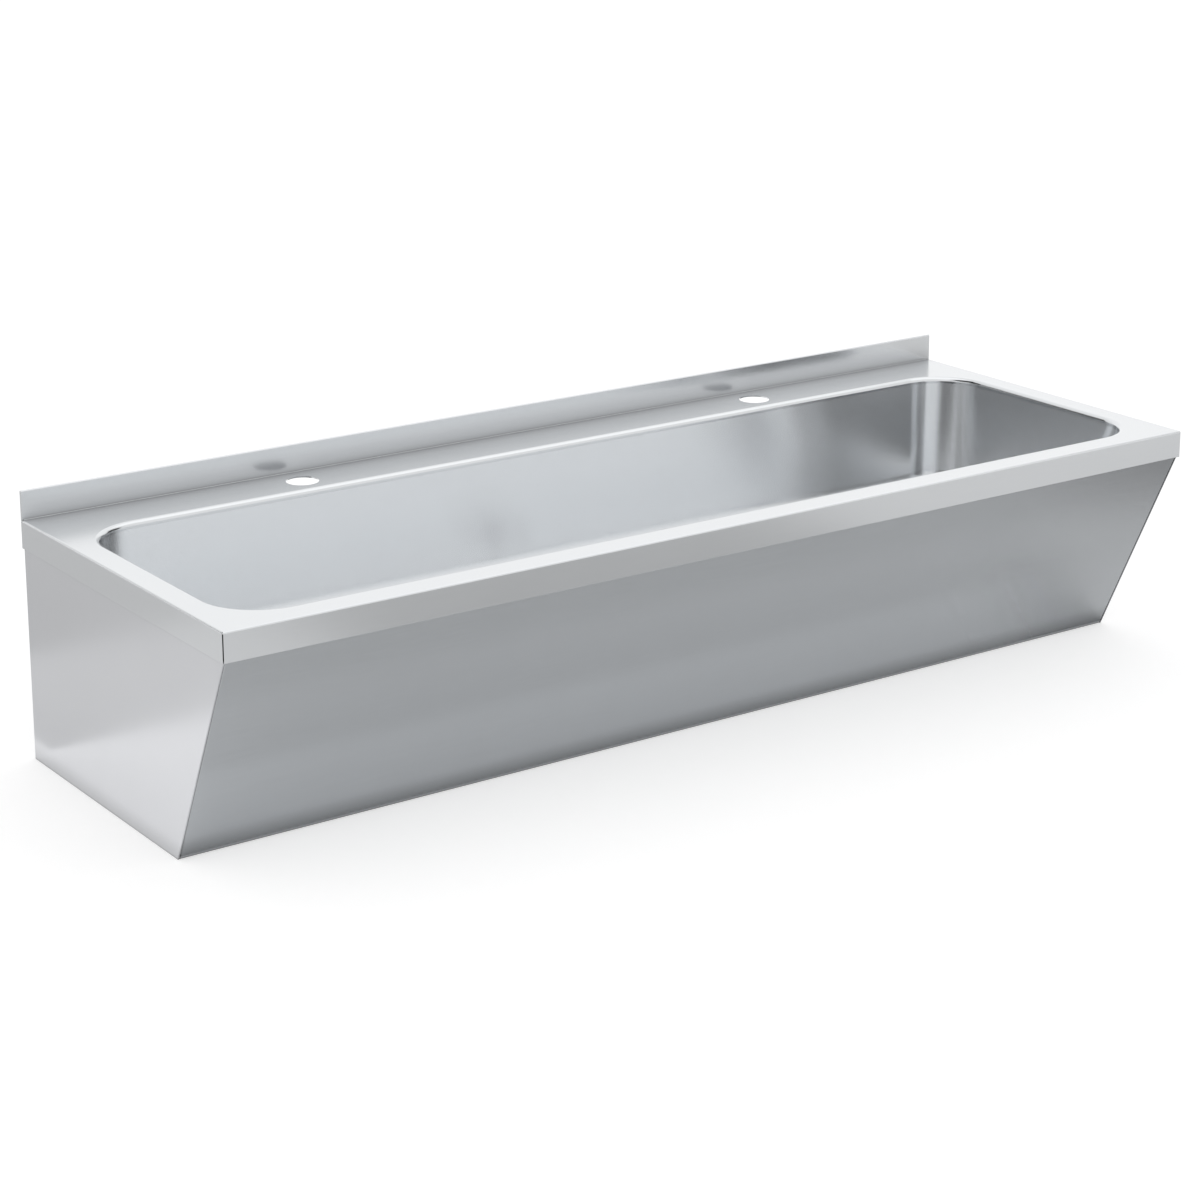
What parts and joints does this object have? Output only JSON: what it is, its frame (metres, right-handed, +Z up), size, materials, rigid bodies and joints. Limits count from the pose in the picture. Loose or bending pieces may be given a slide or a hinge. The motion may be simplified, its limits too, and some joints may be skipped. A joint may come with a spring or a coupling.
{
  "type": "trough sink",
  "caption": "Wall-hung stainless washing trough with a rounded pressed bowl, folded aprons, low upstand, tap holes, sloped casing, lift-out strainer and bottle trap.",
  "frame": {"origin": "middle of the bounding box's base: halfway along the trough, halfway between the front apron and the wall, at the underside of the casing", "axes": "+X along the trough's length to the right as seen from the front, +Y towards the wall, +Z up"},
  "size_m": [1.2, 0.425, 0.285],
  "materials": {
    "stainless_skin": "satin brushed stainless sheet",
    "stainless_frame": "mill finish stainless sheet",
    "fastener_steel": "plain stainless fastener",
    "waste_steel": "polished stainless",
    "brass": "plain brass",
    "seal_rubber": "black rubber",
    "damping_pad": "matt bitumen sheet",
    "trap_plastic": "white moulded plastic",
    "slip_plastic": "ivory plastic"
  },
  "bodies": {
    "trough": {"deck": "stainless_skin", "bowl": "stainless_skin", "front_panel": "stainless_skin", "left_side_panel": "stainless_skin", "right_side_panel": "stainless_skin", "left_side_angle": "stainless_frame", "right_side_angle": "stainless_frame", "front_stiffener": "stainless_frame", "rear_rail": "stainless_frame", "left_casing_tie": "stainless_frame", "right_casing_tie": "stainless_frame", "casing_screws": "fastener_steel", "casing_rivnuts": "fastener_steel", "left_wall_bracket": "stainless_frame", "right_wall_bracket": "stainless_frame", "bracket_studs": "fastener_steel", "bracket_washers": "fastener_steel", "bracket_nuts": "fastener_steel", "left_floor_channel": "stainless_frame", "right_floor_channel": "stainless_frame", "left_sound_pad": "damping_pad", "right_sound_pad": "damping_pad", "earth_tag": "stainless_frame", "earth_bolt": "brass", "earth_nut": "brass", "waste_body": "waste_steel", "waste_top_gasket": "seal_rubber", "waste_gasket": "seal_rubber", "waste_slip_washer": "slip_plastic", "waste_backnut": "brass", "trap_inlet_nut": "trap_plastic", "trap_inlet_washer": "seal_rubber", "trap_body": "trap_plastic", "outlet_nut": "trap_plastic", "outlet_seal": "seal_rubber", "outlet_pipe": "trap_plastic"},
    "strainer": {"strainer": "waste_steel"},
    "trap_cup": {"trap_cup": "trap_plastic", "trap_cup_seal": "seal_rubber"},
    "trap_cup_ring": {"trap_cup_ring": "trap_plastic"}
  },
  "joints": [
    {"name": "strainer_lift", "type": "slide", "parent": "trough", "child": "strainer", "axis": [0, 0, 1], "range_m": [0, 0.05]},
    {"name": "trap_cup_drop", "type": "slide", "parent": "trough", "child": "trap_cup", "axis": [0, 0, -1], "range_m": [0, 0.006]},
    {"name": "trap_ring_turn", "type": "hinge", "parent": "trap_cup", "child": "trap_cup_ring", "pos_m": [0, 0.01024, 0.02], "axis": [0, 0, -1], "range_deg": [0, 720]}
  ],
  "couplings": [
    {"joint": "trap_cup_drop", "follows": "trap_ring_turn", "m_per_rad": 0.00047746}
  ]
}
